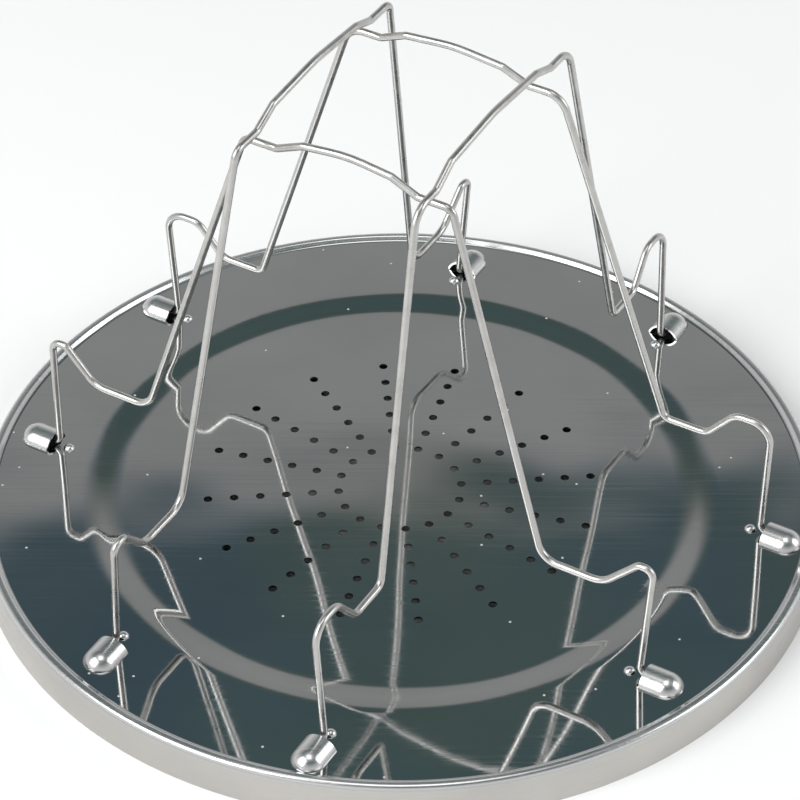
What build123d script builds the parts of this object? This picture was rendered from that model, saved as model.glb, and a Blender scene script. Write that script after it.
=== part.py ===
"""Folding camp-stove toaster: a round pressed plate and four hinged wires that hold up to four slices.

Millimetres, +Z up, origin on the table under the plate's centre. The front is -Y.
"""
from build123d import *
import os

os.makedirs("parts", exist_ok=True)

# Plate
PLATE_RADIUS = 115.0         # outside of the rim bead
SHEET = 0.6                  # thickness of the pressed sheet
SKIRT_FLARE = 1.3            # how far the skirt's foot stands outside the bead
RIM_HEIGHT = 10.9            # top of the rim bead above the table
FLAT_DROP = 1.2              # the flat ring lies this far below the bead
FLAT_TOP = RIM_HEIGHT - FLAT_DROP
DISH_RADIUS = 79.0           # edge of the pressed centre
DISH_SLOPE = 6.5             # width of its gentle edge
DISH_DROP = 0.5
BEAD_WIDTH = 3.2
DISH_BEND = 70.0
BEAD_BENDS = (1.0, 0.9, 1.3)

# Perforations of the pressed centre
HOLE_RADIUS = 1.2
HOLE_TURN = 1.7              # degrees by which the spokes are turned from between the wires
HOLE_SPOKES = 16
HOLE_RINGS = 6
FIRST_RING = 17.0
RING_PITCH = 7.2

# Wires. The four are bent alike, except that opposite ones differ a little in width and height, so that
# one nests inside the other when they fold.
WIRE_RADIUS = 1.0
HINGE_OFFSET = 32.7          # hinge line to the plate's centre line
HINGE_HEIGHT = FLAT_TOP + WIRE_RADIUS + 0.2
FOOT_REACH = 92.4            # middle of the wire to the riser
FOOT_LENGTH = 8.6            # riser to the wire's end, inside the pocket
RISER_SPLAY = 1.2            # the riser leans out by this much at the hump
HUMP_HEIGHT = 36.0
HUMP_WIDTH = 7.4
LEDGE_OUTER = 77.4           # where the hump runs down on to the bread ledge
LEDGE_HEIGHT = 26.2
LEG_REACH = 62.2             # where the ledge turns up into the leg
UNDER_SHOULDER = 30.7        # where the leg turns in to the seat, on the front and rear wires
OVER_SHOULDER = 38.1         # the same on the left and right wires, which cross on top
SEAT_LENGTH = 9.6            # level stretch at each crossing
STEP_RUN = 7.6
STEP_RISE = 3.3              # top bar above the seats
CROWN = 1.5                  # rise of the top bar between its steps
FOOT_BEND = 2.2
HUMP_BENDS = (4.2, 3.6)
LEDGE_BEND = 6.0
LEG_BEND = 4.5
SHOULDER_BEND = 4.6
STEP_BEND = 2.2
CROWN_BEND = 40.0
NEST = 1.57                  # a narrow wire's bend lies this far inside the drawn line, a wide one's outside

# Heights of the seats above the hinge lines
FRONT_SEAT = 122.0
REAR_SEAT = FRONT_SEAT + 1.45
LEFT_LIFT = 4.35             # left wire above the wires that it crosses
RIGHT_LIFT = LEFT_LIFT + 2.0

# Pockets that hold the wire feet, and the pips that stop the feet sliding out
POCKET_GAP = 1.8             # riser to the mouth
POCKET_RADIUS = 4.9
POCKET_SINK = 1.5            # the pocket's axis lies this far below the plate's top
POCKET_LENGTH = 10.8
SLOT_WIDTH = 7.8             # lanced slot in front of the mouth
SLOT_DEPTH = 0.8
PIP_GAP = 2.9                # riser to the pip's centre
PIP_RADIUS = 1.6
PIP_HEIGHT = 1.2

# name: quarter turns from the front, spread of the bend, lean inward in degrees, shoulder, and the seat
# heights at the wire's left and right ends as seen from outside
WIRES = {
    "front_wire": (0, -NEST, 3.05, UNDER_SHOULDER, FRONT_SEAT, FRONT_SEAT),
    "right_wire": (1, NEST, 2.46, OVER_SHOULDER, FRONT_SEAT + RIGHT_LIFT, REAR_SEAT + RIGHT_LIFT),
    "rear_wire": (2, NEST, 2.35, UNDER_SHOULDER, REAR_SEAT, REAR_SEAT),
    "left_wire": (3, -NEST, 3.44, OVER_SHOULDER, REAR_SEAT + LEFT_LIFT, FRONT_SEAT + LEFT_LIFT),
}


def sheet_section(path, radii):
    """Closed section of the sheet: the path is its top side, the other side lies SHEET below, the foot is level."""
    corners = [Vector(x, 0, z) for x, z in path]
    runs = [(b - a).normalized() for a, b in zip(corners, corners[1:])]
    sides = [Vector(run.Z, 0, -run.X) for run in runs]
    inner = [corners[0] + sides[0] * SHEET]
    inner_radii = []
    for corner, before, after, radius in zip(corners[1:], sides, sides[1:], radii):
        inner.append(corner + (before + after) * (SHEET / (1 + before.dot(after))))
        turns_down = before.cross(after).Y > 0
        inner_radii.append(radius - SHEET if turns_down else radius + SHEET)
    inner.append(corners[-1] + Vector(SHEET / sides[-1].X, 0, 0))
    top = FilletPolyline(*corners, radius=radii)
    under = FilletPolyline(*inner, radius=inner_radii)
    ends = [Line(corners[0], inner[0]), Line(corners[-1], inner[-1])]
    return make_face([*top.edges(), *under.edges(), *ends])


def pressed_disc():
    """The plate before it is pierced: dished centre, flat ring, rim bead and turned-down skirt."""
    bead_inner = PLATE_RADIUS - BEAD_WIDTH
    path = [
        (0, FLAT_TOP - DISH_DROP),
        (DISH_RADIUS, FLAT_TOP - DISH_DROP),
        (DISH_RADIUS + DISH_SLOPE, FLAT_TOP),
        (bead_inner, FLAT_TOP),
        (bead_inner + FLAT_DROP, RIM_HEIGHT),
        (PLATE_RADIUS, RIM_HEIGHT),
        (PLATE_RADIUS + SKIRT_FLARE, 0),
    ]
    return revolve(sheet_section(path, [DISH_BEND, DISH_BEND, *BEAD_BENDS]), Axis.Z)


def perforations():
    """Holes on straight spokes, the same number on every spoke."""
    drills = []
    for spoke in range(HOLE_SPOKES):
        angle = (spoke + 0.5) * 360 / HOLE_SPOKES + HOLE_TURN
        for ring in range(HOLE_RINGS):
            place = Rot(0, 0, angle) * Pos(FIRST_RING + ring * RING_PITCH, 0, FLAT_TOP)
            drills.append(place * Cylinder(HOLE_RADIUS, 10 * SHEET))
    return drills


def capsule(radius, start, end):
    """Rod along +X with a flat start and a round end."""
    rod = Cylinder(radius, end - radius - start, rotation=(0, 90, 0))
    return Pos((start + end - radius) / 2, 0, 0) * rod + Pos(end - radius, 0, 0) * Sphere(radius)


def above_plate(shape):
    """Keeps what stands above the flat ring's underside."""
    keeper = Cylinder(PLATE_RADIUS, RIM_HEIGHT, align=(Align.CENTER, Align.CENTER, Align.MIN))
    return shape & Pos(0, 0, FLAT_TOP - SHEET) * keeper


def pocket_places(spread):
    """Both ends of one wire, as places whose +X runs outward along the hinge line."""
    reach = FOOT_REACH + spread
    hinge = Pos(0, -HINGE_OFFSET, 0)
    return [hinge * Pos(reach, 0, 0), hinge * Pos(-reach, 0, 0) * Rot(0, 0, 180)]


def add_pockets(plate):
    """Presses the eight pockets and pips, with a lanced slot in front of each pocket's mouth."""
    end = POCKET_GAP + POCKET_LENGTH
    axis = Pos(0, 0, FLAT_TOP - POCKET_SINK)
    dome = axis * capsule(POCKET_RADIUS, POCKET_GAP, end)
    hollow = axis * capsule(POCKET_RADIUS - SHEET, POCKET_GAP - SHEET, end - SHEET)
    slot = Pos(POCKET_GAP - SLOT_DEPTH / 2, 0, FLAT_TOP) * Box(SLOT_DEPTH, SLOT_WIDTH, 4 * SHEET)
    ball_radius = (PIP_RADIUS**2 + PIP_HEIGHT**2) / (2 * PIP_HEIGHT)
    ball = Pos(-PIP_GAP, 0, FLAT_TOP + PIP_HEIGHT - ball_radius)
    for turns, spread, *_ in WIRES.values():
        for place in pocket_places(spread):
            place = Rot(0, 0, 90 * turns) * place
            plate = plate + above_plate(place * dome) + above_plate(place * ball * Sphere(ball_radius))
            plate = plate - place * hollow - place * slot - place * ball * Sphere(ball_radius - SHEET)
    return plate


def half_outline(spread, shoulder, seat, bar):
    """Corners of one half of a wire and their bend radii, from its end in the pocket to its top bar."""
    foot = FOOT_REACH + spread
    hump = foot + RISER_SPLAY
    seat_outer = shoulder + spread / 2
    seat_inner = seat_outer - SEAT_LENGTH
    corners = [
        (foot + FOOT_LENGTH, 0),
        (foot, 0),
        (hump, HUMP_HEIGHT + spread),
        (hump - HUMP_WIDTH - 2 * spread, HUMP_HEIGHT + spread),
        (LEDGE_OUTER - spread / 2, LEDGE_HEIGHT + spread),
        (LEG_REACH + spread, LEDGE_HEIGHT + spread),
        (seat_outer, seat),
        (seat_inner, seat),
        (seat_inner - STEP_RUN, bar),
    ]
    bends = [
        FOOT_BEND,
        HUMP_BENDS[0] + spread,
        HUMP_BENDS[1] + spread,
        LEDGE_BEND - spread,
        LEG_BEND - spread,
        SHOULDER_BEND + spread,
        STEP_BEND,
        STEP_BEND,
    ]
    return corners, bends


def upright_wire(spread, shoulder, left_seat, right_seat):
    """One wire standing in the XZ plane, its hinge line on the X axis."""
    bar = (left_seat + right_seat) / 2 + STEP_RISE
    left, bends = half_outline(spread, shoulder, left_seat, bar)
    right, _ = half_outline(spread, shoulder, right_seat, bar)
    corners = [(-x, z) for x, z in left] + [(0, bar + CROWN)] + [(x, z) for x, z in reversed(right)]
    path = FilletPolyline(*[(x, 0, z) for x, z in corners], radius=bends + [CROWN_BEND] + bends[::-1])
    section = Plane(origin=path @ 0, z_dir=path % 0) * Circle(WIRE_RADIUS)
    return sweep(section, path=path)


def place_wire(turns, spread, lean, shoulder, left_seat, right_seat):
    """The wire leaned inward about its hinge line and turned to its side of the plate."""
    wire = upright_wire(spread, shoulder, left_seat, right_seat)
    return Rot(0, 0, 90 * turns) * Pos(0, -HINGE_OFFSET, HINGE_HEIGHT) * Rot(-lean, 0, 0) * wire


plate = add_pockets(pressed_disc()) - perforations()
export_step(plate, "parts/base_plate.step")
for name, wire in WIRES.items():
    export_step(place_wire(*wire), f"parts/{name}.step")
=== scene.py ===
"""Folding camp-stove toaster: the finished plate and wires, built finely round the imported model.

Metres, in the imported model's frame: +Z up, origin on the floor under the plate's centre, the front is -Y.
The plate's and the wires' sizes are millimetres and are scaled by MM; the camera, the studio and the finishes
are in metres.
"""
import math

import bmesh
import bpy
from mathutils import Matrix, Vector


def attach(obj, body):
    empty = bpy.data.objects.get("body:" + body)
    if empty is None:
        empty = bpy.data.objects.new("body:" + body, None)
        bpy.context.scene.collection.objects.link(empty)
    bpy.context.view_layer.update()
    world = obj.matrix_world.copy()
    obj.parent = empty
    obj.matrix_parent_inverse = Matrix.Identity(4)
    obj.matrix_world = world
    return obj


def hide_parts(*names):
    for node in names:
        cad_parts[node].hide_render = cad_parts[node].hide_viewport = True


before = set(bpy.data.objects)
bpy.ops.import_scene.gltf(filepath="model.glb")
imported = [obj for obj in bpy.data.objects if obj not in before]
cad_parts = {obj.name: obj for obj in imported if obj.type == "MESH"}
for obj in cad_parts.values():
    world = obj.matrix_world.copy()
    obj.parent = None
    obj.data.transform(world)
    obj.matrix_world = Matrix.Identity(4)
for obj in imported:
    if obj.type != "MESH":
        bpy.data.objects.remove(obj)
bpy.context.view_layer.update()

MM = 0.001

# Fineness of the meshes
ARC_STEP = math.radians(6)                # a wire's bends
DISH_STEP = math.radians(0.75)            # the very gentle bends of the pressed centre
BEAD_STEP = math.radians(10)
PLATE_SEGMENTS = 480
WIRE_SIDES = 24
POCKET_SIDES = 48
POCKET_END_STEPS = 12
PIP_SIDES = 32
PIP_STEPS = 12
HOLE_SIDES = 32
WIRE_RUN = 4.0                            # rough spacing of the rings on a straight run
PLATE_SHARP = 32                          # edges sharper than this, in degrees, stay sharp
WIRE_SHARP = 50

# Plate
PLATE_RADIUS = 115.0
SHEET = 0.6
SKIRT_FLARE = 1.3
RIM_HEIGHT = 10.9
FLAT_TOP = 9.7
DISH_RADIUS = 79.0
DISH_SLOPE = 6.5
DISH_DROP = 0.5
DISH_BEND = 70.0
BEAD_WIDTH = 3.2
BEAD_BENDS = (1.0, 0.9, 1.3)
HOLE_RADIUS = 1.2
HOLE_TURN = 1.7              # degrees by which the spokes are turned from between the wires
HOLE_SPOKES = 16
HOLE_RINGS = 6
FIRST_RING = 17.0
RING_PITCH = 7.2
DRILL_REACH = 3.0            # the drills pass this far above and below the flat ring's top

# Pockets and pips
POCKET_GAP = 1.8
POCKET_RADIUS = 4.9
POCKET_SINK = 1.5
POCKET_LENGTH = 10.8
SLOT_WIDTH = 7.8
SLOT_DEPTH = 0.8
PIP_GAP = 2.9
PIP_RADIUS = 1.6
PIP_HEIGHT = 1.2

# Wires
WIRE_RADIUS = 1.0
HINGE_OFFSET = 32.7
HINGE_HEIGHT = 10.9
FOOT_REACH = 92.4
FOOT_LENGTH = 8.6
RISER_SPLAY = 1.2
HUMP_HEIGHT = 36.0
HUMP_WIDTH = 7.4
LEDGE_OUTER = 77.4
LEDGE_HEIGHT = 26.2
LEG_REACH = 62.2
UNDER_SHOULDER = 30.7
OVER_SHOULDER = 38.1
SEAT_LENGTH = 9.6
STEP_RUN = 7.6
STEP_RISE = 3.3
CROWN = 1.5
FOOT_BEND = 2.2
HUMP_BENDS = (4.2, 3.6)
LEDGE_BEND = 6.0
LEG_BEND = 4.5
SHOULDER_BEND = 4.6
STEP_BEND = 2.2
CROWN_BEND = 40.0
NEST = 1.57
FRONT_SEAT = 122.0
REAR_SEAT = 123.45
LEFT_LIFT = 4.35
RIGHT_LIFT = 6.35

# name: quarter turns, spread, lean in degrees, shoulder, seat heights at the left and right ends
WIRES = {
    "front_wire": (0, -NEST, 3.05, UNDER_SHOULDER, FRONT_SEAT, FRONT_SEAT),
    "right_wire": (1, NEST, 2.46, OVER_SHOULDER, FRONT_SEAT + RIGHT_LIFT, REAR_SEAT + RIGHT_LIFT),
    "rear_wire": (2, NEST, 2.35, UNDER_SHOULDER, REAR_SEAT, REAR_SEAT),
    "left_wire": (3, -NEST, 3.44, OVER_SHOULDER, REAR_SEAT + LEFT_LIFT, FRONT_SEAT + LEFT_LIFT),
}

# Camera
CAMERA_AZIMUTH = math.radians(30.24)      # from -Y towards +X
CAMERA_ELEVATION = math.radians(41.26)
CAMERA_PITCH = math.radians(39.84)        # below the horizon
CAMERA_DISTANCE = 0.922
AIM_HEIGHT = 0.0109                       # the rim's top
LENS = 150.5
SENSOR = 36.0

# Studio, as the polished steel mirrors it: (height of the direction, colour) from the floor to the zenith
WALL_TOP = 0.652
CEILING_START = 0.667
STUDIO = [
    (0.0, 0.85),
    (0.30, 0.78),
    (0.50, 0.50),
    (0.60, 0.43),
    (WALL_TOP, 0.415),
    (CEILING_START, (0.100, 0.145, 0.150)),
    (0.69, (0.090, 0.136, 0.146)),
    (0.74, (0.100, 0.155, 0.150)),
    (0.82, (0.15, 0.20, 0.19)),
    (0.90, 0.35),
    (1.0, 0.5),
]
CEILING_TILT = 0.06                       # the dark ceiling starts lower on the right
CEILING_DRIFT = 0.03                      # how far its edge wanders
DRIFT_SCALE = 6.0
PATCH_SCALE = 9.0
PATCH_EDGE = (0.42, 0.6)
CEILING_TINTS = ((0.92, 0.97, 1.08), (1.10, 1.06, 0.96))
FLOOR_HALF = 3.0
FLOOR_COLOUR = (0.95, 0.95, 0.95, 1)
FLOOR_ROUGHNESS = 0.8

# name: azimuth and elevation in degrees, distance, width and height in metres, power in watts
SOFTBOXES = {
    "key": (-28, 42, 1.5, 1.0, 1.0, 16),
    "fill": (118, 32, 1.6, 0.8, 0.9, 7),
    "top": (30, 84, 1.8, 0.8, 0.8, 4),
}

# Plate finish
ROLLING_ANGLE = math.radians(30)          # direction of the sheet's rolling lines, from +X towards +Y
FACES_AXIS = (-0.03, -0.06)               # the normal times the way out from the axis, on the skirt's inside
UNDERSIDE_TOP = (8.9 * MM, 8.5 * MM)      # the skirt's inside begins below this
FACES_DOWN = (-0.2, -0.6)                 # Z of the normal
SKIRT_OUTSIDE = ((PLATE_RADIUS - 0.4) * MM, PLATE_RADIUS * MM)
SKIRT_TOP = ((RIM_HEIGHT - 1.2) * MM, (RIM_HEIGHT - 1.8) * MM)
BEAD_INSIDE = ((PLATE_RADIUS - BEAD_WIDTH) * MM, (PLATE_RADIUS - 2) * MM)
RAISED_FOOT = ((FLAT_TOP + 0.1) * MM, (FLAT_TOP + 0.5) * MM)
LINE_SCALES = (25, 2000, 25)              # fine across the rolling lines
GRAIN_SCALES = (120, 120, 1600)           # fine up the skirt
PLATE_CLOUD_SCALE = 22.0
CLOUD_TONES = (0.95, 1.04)
PLATE_COLOUR = (0.46, 0.47, 0.47)
SKIRT_COLOUR = (0.525, 0.51, 0.485)
# lighter colour for the pockets, pips and rim bead, all above the flat ring: painted highlight
RAISED_HIGHLIGHT_COLOUR = (0.62, 0.62, 0.62)
# dark colours for the underside and the skirt's inside: painted shade under the plate, in two cloudy tones
UNDERSIDE_SHADE_TINTS = ((0.20, 0.17, 0.14), (0.24, 0.24, 0.26))
DUST_COLOUR = (0.9, 0.9, 0.9)
DUST_SCALE = 95.0
DUST_SIZE = (0.045, 0.02)                 # of a cell, from clean sheet to full speck
DUST_PICK = 0.9                           # the share of cells left clean
POLISH = (0.025, 0.09)                    # roughness along the rolling lines
SATIN = (0.30, 0.42)                      # roughness of the skirt
DUST_ROUGHNESS = 0.6
RAISED_ROUGHNESS = 0.2
HIDDEN_ROUGHNESS = 0.5
WAVE_SCALE = 30.0
WAVE_HEIGHT = 0.00022
LINE_SHARE = 0.004                        # depth of the rolling lines against the waves
DUST_SHARE = 0.02

# Wire finish
WIRE_COLOURS = ((0.47, 0.46, 0.445), (0.56, 0.55, 0.535))
WIRE_ROUGHNESS = (0.27, 0.37)
CLOUD_SCALE = 260.0
PIT_SCALE = 700.0
PIT_DEPTH = 0.000004


def rounded(corners, bends, step=ARC_STEP):
    """The polyline through 2D corners, with each inner corner rounded to its bend radius."""
    points = [corners[0]]
    for before, corner, after, bend in zip(corners, corners[1:], corners[2:], bends):
        into = (corner - before).normalized()
        out = (after - corner).normalized()
        turn = math.atan2(into.cross(out), into.dot(out))
        side = Vector((-into.y, into.x)) * math.copysign(bend, turn)
        centre = corner - into * bend * math.tan(abs(turn) / 2) + side
        steps = max(3, math.ceil(abs(turn) / step))
        for i in range(steps + 1):
            points.append(centre - Matrix.Rotation(turn * i / steps, 2) @ side)
    points.append(corners[-1])
    return points


def offset_below(path, bends):
    """The sheet's other side, SHEET below the path, cut level at its foot; and its bend radii."""
    sides = [Vector((b - a).normalized().yx) for a, b in zip(path, path[1:])]
    for side in sides:
        side.y = -side.y
    corners = [path[0] + sides[0] * SHEET]
    radii = []
    for corner, before, after, bend in zip(path[1:], sides, sides[1:], bends):
        corners.append(corner + (before + after) * (SHEET / (1 + before.dot(after))))
        turns_down = before.cross(after) < 0
        radii.append(bend - SHEET if turns_down else bend + SHEET)
    corners.append(path[-1] + Vector((SHEET / sides[-1].x, 0)))
    return corners, radii


def lathe(section, segments):
    """Closed solid turned about Z from a closed section that starts and ends on the axis."""
    bm = bmesh.new()
    rings = []
    for r, z in section:
        if r < 1e-6:
            rings.append([bm.verts.new((0, 0, z))])
        else:
            ring = []
            for i in range(segments):
                a = 2 * math.pi * i / segments
                ring.append(bm.verts.new((r * math.cos(a), r * math.sin(a), z)))
            rings.append(ring)
    for low, high in zip(rings, rings[1:]):
        if len(low) == 1:
            bm.faces.new(high)
        elif len(high) == 1:
            bm.faces.new(low)
        else:
            for i in range(segments):
                j = (i + 1) % segments
                bm.faces.new((low[i], low[j], high[j], high[i]))
    lonely = [v for v in bm.verts if not v.link_faces]
    bmesh.ops.delete(bm, geom=lonely, context="VERTS")
    bmesh.ops.recalc_face_normals(bm, faces=bm.faces)
    return bm


def pressed_disc():
    """The plate before it is pierced: dished centre, flat ring, rim bead and turned-down skirt."""
    bead_inner = PLATE_RADIUS - BEAD_WIDTH
    path = [Vector(p) for p in (
        (0, FLAT_TOP - DISH_DROP),
        (DISH_RADIUS, FLAT_TOP - DISH_DROP),
        (DISH_RADIUS + DISH_SLOPE, FLAT_TOP),
        (bead_inner, FLAT_TOP),
        (bead_inner + RIM_HEIGHT - FLAT_TOP, RIM_HEIGHT),
        (PLATE_RADIUS, RIM_HEIGHT),
        (PLATE_RADIUS + SKIRT_FLARE, 0),
    )]
    bends = [DISH_BEND, DISH_BEND, *BEAD_BENDS]
    sides = []
    for corners, radii in ((path, bends), offset_below(path, bends)):
        dish = rounded(corners[:4], radii[:2], DISH_STEP)
        bead = rounded(corners[2:], radii[2:], BEAD_STEP)
        sides.append(dish[:-1] + bead[1:])
    top, under = sides
    return lathe(top + under[::-1], PLATE_SEGMENTS)


def capsule(radius, start, end, floor):
    """Rod along +X with a flat start and a round end, cut level at height floor above its axis."""
    section = [(0, start), (radius, start)]
    for i in range(POCKET_END_STEPS):
        a = math.pi / 2 * i / POCKET_END_STEPS
        section.append((radius * math.cos(a), end - radius + radius * math.sin(a)))
    section.append((0, end))
    bm = lathe(section, POCKET_SIDES)
    bm.transform(Matrix.Rotation(math.pi / 2, 4, "Y"))
    whole = bm.verts[:] + bm.edges[:] + bm.faces[:]
    bmesh.ops.bisect_plane(bm, geom=whole, plane_co=(0, 0, floor), plane_no=(0, 0, 1), clear_inner=True)
    rim = [e for e in bm.edges if e.is_boundary]
    bmesh.ops.contextual_create(bm, geom=rim)
    bmesh.ops.recalc_face_normals(bm, faces=bm.faces)
    return bm


def dome(radius, centre, floor):
    """Ball whose centre is at height centre, cut level at height floor."""
    spread = math.acos((floor - centre) / radius)
    section = [(0, floor)]
    for i in range(PIP_STEPS):
        a = spread * (1 - i / PIP_STEPS)
        section.append((radius * math.sin(a), centre + radius * math.cos(a)))
    section.append((0, centre + radius))
    return lathe(section, PIP_SIDES)


def block(size):
    """Box of the given size about the origin."""
    bm = bmesh.new()
    bmesh.ops.create_cube(bm, size=1)
    bm.transform(Matrix.Diagonal((*size, 1)))
    return bm


def gather(name, pieces):
    """One mesh object from (bmesh, matrices) pairs, in metres."""
    whole = bmesh.new()
    for bm, places in pieces:
        single = bpy.data.meshes.new("piece")
        bm.to_mesh(single)
        bm.free()
        for place in places:
            moved = single.copy()
            moved.transform(place)
            whole.from_mesh(moved)
            bpy.data.meshes.remove(moved)
        bpy.data.meshes.remove(single)
    mesh = bpy.data.meshes.new(name)
    whole.transform(Matrix.Scale(MM, 4))
    whole.to_mesh(mesh)
    whole.free()
    thing = bpy.data.objects.new(name, mesh)
    bpy.context.collection.objects.link(thing)
    return thing


def combine(thing, other, operation):
    """Boolean of thing with other, applied; other is removed."""
    modifier = thing.modifiers.new("cut", "BOOLEAN")
    modifier.operation = operation
    modifier.object = other
    modifier.solver = "EXACT"
    apply_modifiers(thing)
    bpy.data.objects.remove(other)


def apply_modifiers(thing):
    graph = bpy.context.evaluated_depsgraph_get()
    mesh = bpy.data.meshes.new_from_object(thing.evaluated_get(graph))
    mesh.name = thing.name
    thing.modifiers.clear()
    thing.data = mesh


def shade(thing, angle):
    """Smooth shading that keeps edges sharper than the angle, and keeps large flats flat."""
    mesh = thing.data
    mesh.polygons.foreach_set("use_smooth", [True] * len(mesh.polygons))
    mesh.set_sharp_from_angle(angle=math.radians(angle))
    weighted = thing.modifiers.new("weighted", "WEIGHTED_NORMAL")
    weighted.keep_sharp = True
    weighted.weight = 100
    apply_modifiers(thing)


def quarter(turns):
    """Turn about Z by quarter turns."""
    return Matrix.Rotation(math.pi / 2 * turns, 4, "Z")


def pocket_places():
    """The place of each wire end, whose +X runs outward along the hinge line, on the plate's top."""
    places = []
    for turns, spread, *_ in WIRES.values():
        for side in (0, math.pi):
            reach = (FOOT_REACH + spread) * (1 if side == 0 else -1)
            spot = Matrix.Translation((reach, -HINGE_OFFSET, FLAT_TOP))
            places.append(quarter(turns) @ spot @ Matrix.Rotation(side, 4, "Z"))
    return places


def shifted(places, offset):
    """The places, each moved by the offset along its own axes."""
    return [place @ Matrix.Translation(offset) for place in places]


def make_plate():
    """The pressed disc with its pockets, pips and perforations, as one closed mesh."""
    plate = gather("plate", [(pressed_disc(), [Matrix()])])
    places = pocket_places()
    end = POCKET_GAP + POCKET_LENGTH
    on_axis = shifted(places, (0, 0, -POCKET_SINK))
    pips = shifted(places, (-PIP_GAP, 0, 0))
    bury = SHEET / 2
    ball = (PIP_RADIUS**2 + PIP_HEIGHT**2) / (2 * PIP_HEIGHT)
    raised = gather("raised", [
        (capsule(POCKET_RADIUS, POCKET_GAP, end, POCKET_SINK - bury), on_axis),
        (dome(ball, PIP_HEIGHT - ball, -bury), pips),
    ])
    combine(plate, raised, "UNION")
    drills = []
    for spoke in range(HOLE_SPOKES):
        turn = Matrix.Rotation(math.radians((spoke + 0.5) * 360 / HOLE_SPOKES + HOLE_TURN), 4, "Z")
        for ring in range(HOLE_RINGS):
            drills.append(turn @ Matrix.Translation((FIRST_RING + ring * RING_PITCH, 0, FLAT_TOP)))
    ends = [(0, -DRILL_REACH), (HOLE_RADIUS, -DRILL_REACH), (HOLE_RADIUS, DRILL_REACH), (0, DRILL_REACH)]
    hole = lathe(ends, HOLE_SIDES)
    hollows = gather("hollows", [
        (capsule(POCKET_RADIUS - SHEET, POCKET_GAP - SHEET, end - SHEET, POCKET_SINK - 2 * SHEET), on_axis),
        (dome(ball - SHEET, PIP_HEIGHT - ball, -1.5 * SHEET), pips),
        (hole, drills),
    ])
    combine(plate, hollows, "DIFFERENCE")
    cut = SLOT_DEPTH - SHEET / 2          # the pocket's hollow reaches into the rest of the slot
    in_front = shifted(places, (POCKET_GAP - SLOT_DEPTH + cut / 2, 0, 0))
    slots = gather("slots", [(block((cut, SLOT_WIDTH, 4 * SHEET)), in_front)])
    combine(plate, slots, "DIFFERENCE")
    shade(plate, PLATE_SHARP)
    return plate


def half_outline(spread, shoulder, seat, bar):
    """Corners of one half of a wire and their bend radii, from its end in the pocket to its top bar."""
    foot = FOOT_REACH + spread
    hump = foot + RISER_SPLAY
    seat_outer = shoulder + spread / 2
    seat_inner = seat_outer - SEAT_LENGTH
    corners = [
        (foot + FOOT_LENGTH, 0),
        (foot, 0),
        (hump, HUMP_HEIGHT + spread),
        (hump - HUMP_WIDTH - 2 * spread, HUMP_HEIGHT + spread),
        (LEDGE_OUTER - spread / 2, LEDGE_HEIGHT + spread),
        (LEG_REACH + spread, LEDGE_HEIGHT + spread),
        (seat_outer, seat),
        (seat_inner, seat),
        (seat_inner - STEP_RUN, bar),
    ]
    bends = [
        FOOT_BEND,
        HUMP_BENDS[0] + spread,
        HUMP_BENDS[1] + spread,
        LEDGE_BEND - spread,
        LEG_BEND - spread,
        SHOULDER_BEND + spread,
        STEP_BEND,
        STEP_BEND,
    ]
    return corners, bends


def tube(line, radius, sides):
    """Closed round tube along a line in the XZ plane."""
    bm = bmesh.new()
    rings = []
    last = len(line) - 1
    for i, point in enumerate(line):
        along = (line[min(i + 1, last)] - line[max(i - 1, 0)]).normalized()
        ring = []
        for k in range(sides):
            a = 2 * math.pi * k / sides
            across = radius * math.cos(a)
            x = point.x - along.y * across
            z = point.y + along.x * across
            ring.append(bm.verts.new((x, radius * math.sin(a), z)))
        rings.append(ring)
    for low, high in zip(rings, rings[1:]):
        for k in range(sides):
            j = (k + 1) % sides
            bm.faces.new((low[k], low[j], high[j], high[k]))
    bm.faces.new(rings[0])
    bm.faces.new(rings[-1])
    bmesh.ops.recalc_face_normals(bm, faces=bm.faces)
    return bm


def divided(line, spacing):
    """The line with its long straight runs divided evenly, at roughly the spacing."""
    points = [line[0]]
    for a, b in zip(line, line[1:]):
        count = max(1, round((b - a).length / spacing))
        points += [a.lerp(b, (i + 1) / count) for i in range(count)]
    return points


def make_wire(name, turns, spread, lean, shoulder, left_seat, right_seat):
    """One bent wire, leaned inward about its hinge line and turned to its side of the plate."""
    bar = (left_seat + right_seat) / 2 + STEP_RISE
    left, bends = half_outline(spread, shoulder, left_seat, bar)
    right, _ = half_outline(spread, shoulder, right_seat, bar)
    corners = [(-x, z) for x, z in left] + [(0, bar + CROWN)] + [(x, z) for x, z in reversed(right)]
    corners = [Vector(c) for c in corners]
    line = rounded(corners, bends + [CROWN_BEND] + bends[::-1])
    line = [a for a, b in zip(line, line[1:]) if (b - a).length > 1e-5] + [line[-1]]
    hinge = Matrix.Translation((0, -HINGE_OFFSET, HINGE_HEIGHT))
    place = quarter(turns) @ hinge @ Matrix.Rotation(math.radians(-lean), 4, "X")
    wire = gather(name, [(tube(divided(line, WIRE_RUN), WIRE_RADIUS, WIRE_SIDES), [place])])
    shade(wire, WIRE_SHARP)
    return wire


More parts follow.
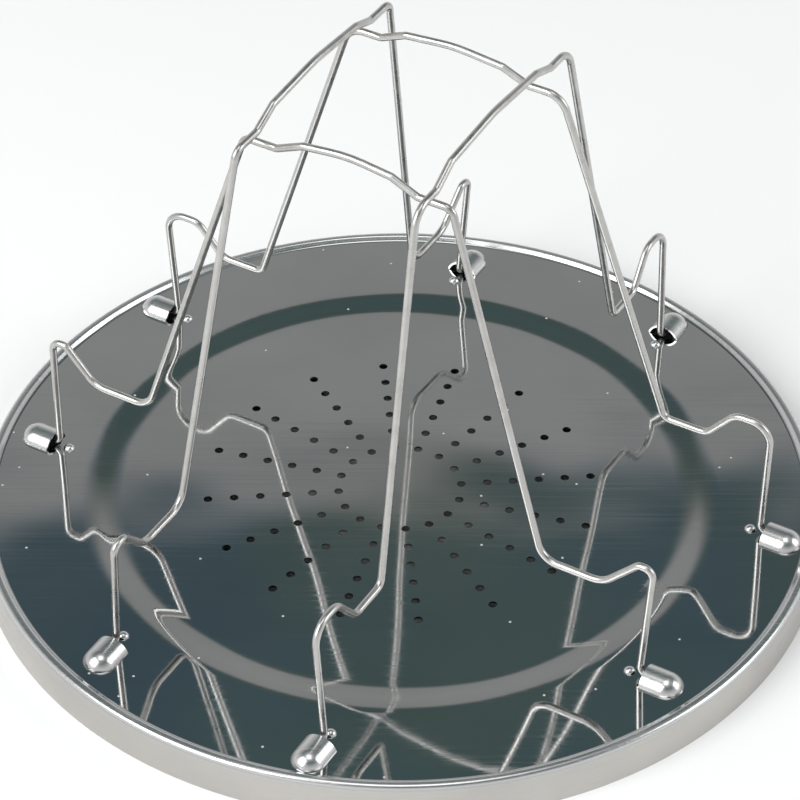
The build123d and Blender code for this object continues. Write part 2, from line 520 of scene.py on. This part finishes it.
class Nodes:
    """Small helper for building a node tree."""

    def __init__(self, tree):
        self.tree = tree
        tree.nodes.clear()

    def add(self, kind, **values):
        node = self.tree.nodes.new(kind)
        for key, value in values.items():
            setattr(node, key, value)
        return node

    def link(self, source, target):
        self.tree.links.new(source, target)

    def math(self, operation, a, b):
        node = self.add("ShaderNodeMath", operation=operation)
        for socket, value in zip(node.inputs, (a, b)):
            if isinstance(value, (int, float)):
                socket.default_value = value
            else:
                self.link(value, socket)
        return node.outputs[0]

    def ramp(self, factor, stops):
        node = self.add("ShaderNodeValToRGB")
        elements = node.color_ramp.elements
        while len(elements) < len(stops):
            elements.new(0.5)
        for element, (position, colour) in zip(elements, stops):
            if not isinstance(colour, tuple):
                colour = (colour, colour, colour)
            element.position = position
            element.color = (*colour, 1)
        self.link(factor, node.inputs[0])
        return node.outputs[0]

    def smooth(self, value, low, high, out_low=0.0, out_high=1.0):
        node = self.add("ShaderNodeMapRange", interpolation_type="SMOOTHSTEP")
        self.link(value, node.inputs[0])
        for index, number in enumerate((low, high, out_low, out_high), start=1):
            node.inputs[index].default_value = number
        return node.outputs[0]

    def noise(self, vector, scale, detail=2.0, roughness=0.5):
        node = self.add("ShaderNodeTexNoise")
        node.inputs["Scale"].default_value = scale
        node.inputs["Detail"].default_value = detail
        node.inputs["Roughness"].default_value = roughness
        self.link(vector, node.inputs["Vector"])
        return node.outputs[0]

    def scaled(self, vector, factors):
        node = self.add("ShaderNodeVectorMath", operation="MULTIPLY")
        self.link(vector, node.inputs[0])
        node.inputs[1].default_value = factors
        return node.outputs[0]

    def mix(self, factor, a, b):
        node = self.add("ShaderNodeMix", data_type="RGBA")
        self.link(factor, node.inputs["Factor"])
        for socket, value in ((node.inputs[6], a), (node.inputs[7], b)):
            if isinstance(value, tuple):
                socket.default_value = (*value, 1)
            else:
                self.link(value, socket)
        return node.outputs[2]

    def mix_value(self, factor, a, b):
        node = self.add("ShaderNodeMix", data_type="FLOAT")
        self.link(factor, node.inputs["Factor"])
        for socket, value in ((node.inputs[2], a), (node.inputs[3], b)):
            if isinstance(value, (int, float)):
                socket.default_value = value
            else:
                self.link(value, socket)
        return node.outputs[0]


def make_camera():
    """The camera, aimed a little above the middle of the plate."""
    data = bpy.data.cameras.new("camera")
    data.lens = LENS
    data.sensor_width = SENSOR
    camera = bpy.data.objects.new("camera", data)
    reach = CAMERA_DISTANCE * math.cos(CAMERA_ELEVATION)
    camera.location = (
        reach * math.sin(CAMERA_AZIMUTH),
        -reach * math.cos(CAMERA_AZIMUTH),
        AIM_HEIGHT + CAMERA_DISTANCE * math.sin(CAMERA_ELEVATION),
    )
    camera.rotation_euler = (math.pi / 2 - CAMERA_PITCH, 0, CAMERA_AZIMUTH)
    bpy.context.collection.objects.link(camera)
    bpy.context.scene.camera = camera


def make_world():
    """A pale studio with a grey wall and a dark teal ceiling band, as polished steel mirrors it."""
    world = bpy.data.worlds.new("studio")
    bpy.context.scene.world = world
    world.use_nodes = True
    n = Nodes(world.node_tree)
    coordinate = n.add("ShaderNodeTexCoord")
    split = n.add("ShaderNodeSeparateXYZ")
    n.link(coordinate.outputs["Generated"], split.inputs[0])
    drift = n.noise(coordinate.outputs["Generated"], DRIFT_SCALE, 1.0)
    wander = n.math("MULTIPLY", n.math("SUBTRACT", drift, 0.5), CEILING_DRIFT)
    height = n.math("ADD", split.outputs["Z"], wander)
    across = n.add("ShaderNodeVectorMath", operation="DOT_PRODUCT")
    n.link(coordinate.outputs["Generated"], across.inputs[0])
    across.inputs[1].default_value = (math.cos(CAMERA_AZIMUTH), math.sin(CAMERA_AZIMUTH), 0)
    height = n.math("ADD", height, n.math("MULTIPLY", across.outputs["Value"], CEILING_TILT))
    sky = n.ramp(height, STUDIO)
    patches = n.smooth(n.noise(coordinate.outputs["Generated"], PATCH_SCALE, 2.0), *PATCH_EDGE)
    tint = n.mix(patches, *CEILING_TINTS)
    dark = n.smooth(height, WALL_TOP, CEILING_START)
    tinted = n.add("ShaderNodeVectorMath", operation="MULTIPLY")
    n.link(sky, tinted.inputs[0])
    n.link(tint, tinted.inputs[1])
    sky = n.mix(dark, sky, tinted.outputs[0])
    background = n.add("ShaderNodeBackground")
    n.link(sky, background.inputs["Color"])
    output = n.add("ShaderNodeOutputWorld")
    n.link(background.outputs[0], output.inputs["Surface"])


def make_floor():
    """The white table top."""
    mesh = bpy.data.meshes.new("floor")
    turns = ((-1, -1), (1, -1), (1, 1), (-1, 1))
    corners = [(x * FLOOR_HALF, y * FLOOR_HALF, 0) for x, y in turns]
    mesh.from_pydata(corners, [], [(0, 1, 2, 3)])
    floor = bpy.data.objects.new("floor", mesh)
    bpy.context.collection.objects.link(floor)
    material = bpy.data.materials.new("floor")
    material.use_nodes = True
    shader = material.node_tree.nodes["Principled BSDF"]
    shader.inputs["Base Color"].default_value = FLOOR_COLOUR
    shader.inputs["Roughness"].default_value = FLOOR_ROUGHNESS
    mesh.materials.append(material)


def make_light(name, azimuth, elevation, distance, width, height, power):
    """A softbox that faces the middle of the plate."""
    data = bpy.data.lights.new(name, "AREA")
    data.shape = "RECTANGLE"
    data.size = width
    data.size_y = height
    data.energy = power
    light = bpy.data.objects.new(name, data)
    a, e = math.radians(azimuth), math.radians(elevation)
    light.location = (
        distance * math.cos(e) * math.sin(a),
        -distance * math.cos(e) * math.cos(a),
        distance * math.sin(e),
    )
    light.rotation_euler = (math.pi / 2 - e, 0, a)
    bpy.context.collection.objects.link(light)


def new_material(name):
    """A metal with its node helper and shader."""
    material = bpy.data.materials.new(name)
    material.use_nodes = True
    n = Nodes(material.node_tree)
    shader = n.add("ShaderNodeBsdfPrincipled")
    output = n.add("ShaderNodeOutputMaterial")
    n.link(shader.outputs[0], output.inputs["Surface"])
    shader.inputs["Metallic"].default_value = 1.0
    return material, n, shader


def plate_steel():
    """Mirror polish on top, satin on the skirt, with faint rolling lines and a few dust specks; a painted
    highlight lightens the pockets, pips and bead, and painted shade darkens the underside.
    """
    material, n, shader = new_material("plate_finish")
    place = n.add("ShaderNodeTexCoord").outputs["Object"]
    split = n.add("ShaderNodeSeparateXYZ")
    n.link(place, split.inputs[0])
    rolled = n.add("ShaderNodeMapping")
    rolled.inputs["Rotation"].default_value = (0, 0, -ROLLING_ANGLE)
    n.link(place, rolled.inputs["Vector"])
    rolled = rolled.outputs[0]
    facing = n.add("ShaderNodeSeparateXYZ")
    facing_normal = n.add("ShaderNodeNewGeometry").outputs["Normal"]
    n.link(facing_normal, facing.inputs[0])
    inward = n.add("ShaderNodeVectorMath", operation="DOT_PRODUCT")
    n.link(facing_normal, inward.inputs[0])
    n.link(n.scaled(place, (1, 1, 0)), inward.inputs[1])
    inside = n.smooth(inward.outputs["Value"], *FACES_AXIS)
    inside = n.math("MULTIPLY", inside, n.smooth(split.outputs["Z"], *UNDERSIDE_TOP))
    hidden = n.math("MAXIMUM", inside, n.smooth(facing.outputs["Z"], *FACES_DOWN))
    distance = n.add("ShaderNodeVectorMath", operation="LENGTH")
    n.link(n.scaled(place, (1, 1, 0)), distance.inputs[0])
    outside = n.smooth(distance.outputs["Value"], *SKIRT_OUTSIDE)
    below = n.smooth(split.outputs["Z"], *SKIRT_TOP)
    skirt = n.math("MULTIPLY", outside, below)
    bead = n.smooth(distance.outputs["Value"], *BEAD_INSIDE)

    lines = n.noise(n.scaled(rolled, LINE_SCALES), 1.0, 4.0, 0.6)
    grain = n.noise(n.scaled(place, GRAIN_SCALES), 1.0, 3.0)
    cloud = n.noise(place, PLATE_CLOUD_SCALE, 3.0)
    dust = n.add("ShaderNodeTexVoronoi", voronoi_dimensions="2D")
    dust.inputs["Scale"].default_value = DUST_SCALE
    n.link(place, dust.inputs["Vector"])
    spot = n.smooth(dust.outputs["Distance"], *DUST_SIZE)
    pick = n.add("ShaderNodeSeparateColor")
    n.link(dust.outputs["Color"], pick.inputs[0])
    speck = n.math("MULTIPLY", spot, n.math("GREATER_THAN", pick.outputs[0], DUST_PICK))
    speck = n.math("MULTIPLY", speck, n.math("SUBTRACT", 1.0, bead))
    raised = n.smooth(split.outputs["Z"], *RAISED_FOOT)

    colour = n.mix(skirt, PLATE_COLOUR, SKIRT_COLOUR)
    # everything above the flat ring takes a lighter colour: painted highlight on the pockets, pips and bead
    colour = n.mix(raised, colour, RAISED_HIGHLIGHT_COLOUR)
    # the underside and the skirt's inside take a dark colour: painted shade under the plate
    underside_shade = n.mix(cloud, *UNDERSIDE_SHADE_TINTS)
    colour = n.mix(hidden, colour, underside_shade)
    tone = n.smooth(cloud, 0.3, 0.7, *CLOUD_TONES)
    tinted = n.add("ShaderNodeVectorMath", operation="SCALE")
    n.link(colour, tinted.inputs[0])
    n.link(tone, tinted.inputs["Scale"])
    n.link(n.mix(speck, tinted.outputs[0], DUST_COLOUR), shader.inputs["Base Color"])

    polish = n.smooth(lines, 0.35, 0.8, *POLISH)
    polish = n.math("ADD", polish, n.math("MULTIPLY", speck, DUST_ROUGHNESS))
    polish = n.math("ADD", polish, n.math("MULTIPLY", raised, RAISED_ROUGHNESS))
    satin = n.smooth(grain, 0.3, 0.7, *SATIN)
    rough = n.mix_value(skirt, polish, satin)
    n.link(n.mix_value(hidden, rough, HIDDEN_ROUGHNESS), shader.inputs["Roughness"])

    waves = n.noise(place, WAVE_SCALE, 0.0)
    height = n.math("ADD", waves, n.math("MULTIPLY", lines, LINE_SHARE))
    height = n.math("ADD", height, n.math("MULTIPLY", speck, DUST_SHARE))
    bump = n.add("ShaderNodeBump")
    bump.inputs["Distance"].default_value = WAVE_HEIGHT
    n.link(height, bump.inputs["Height"])
    n.link(bump.outputs[0], shader.inputs["Normal"])
    return material


def wire_steel():
    """Bright drawn wire, with faint cloudiness and tiny pits."""
    material, n, shader = new_material("wire_finish")
    place = n.add("ShaderNodeTexCoord").outputs["Object"]
    spots = n.noise(place, CLOUD_SCALE, 3.0)
    colour = n.ramp(spots, list(zip((0.3, 0.7), WIRE_COLOURS)))
    n.link(colour, shader.inputs["Base Color"])
    n.link(n.smooth(spots, 0.35, 0.75, *WIRE_ROUGHNESS), shader.inputs["Roughness"])
    bump = n.add("ShaderNodeBump")
    bump.inputs["Distance"].default_value = PIT_DEPTH
    n.link(n.noise(place, PIT_SCALE, 2.0), bump.inputs["Height"])
    n.link(bump.outputs[0], shader.inputs["Normal"])
    return material


def finish_piece(piece, body, node, material):
    """Gives the piece its material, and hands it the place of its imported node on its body."""
    piece.data.materials.clear()
    piece.data.materials.append(material)
    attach(piece, body)
    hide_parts(node)


make_camera()
make_world()
make_floor()
for light_name, softbox in SOFTBOXES.items():
    make_light(light_name, *softbox)
finish_piece(make_plate(), "base", "base_plate", plate_steel())
wire_material = wire_steel()
for wire_name, shape in WIRES.items():
    finish_piece(make_wire(f"{wire_name}_bend", *shape), wire_name, wire_name, wire_material)
bpy.context.scene.view_settings.view_transform = "Standard"
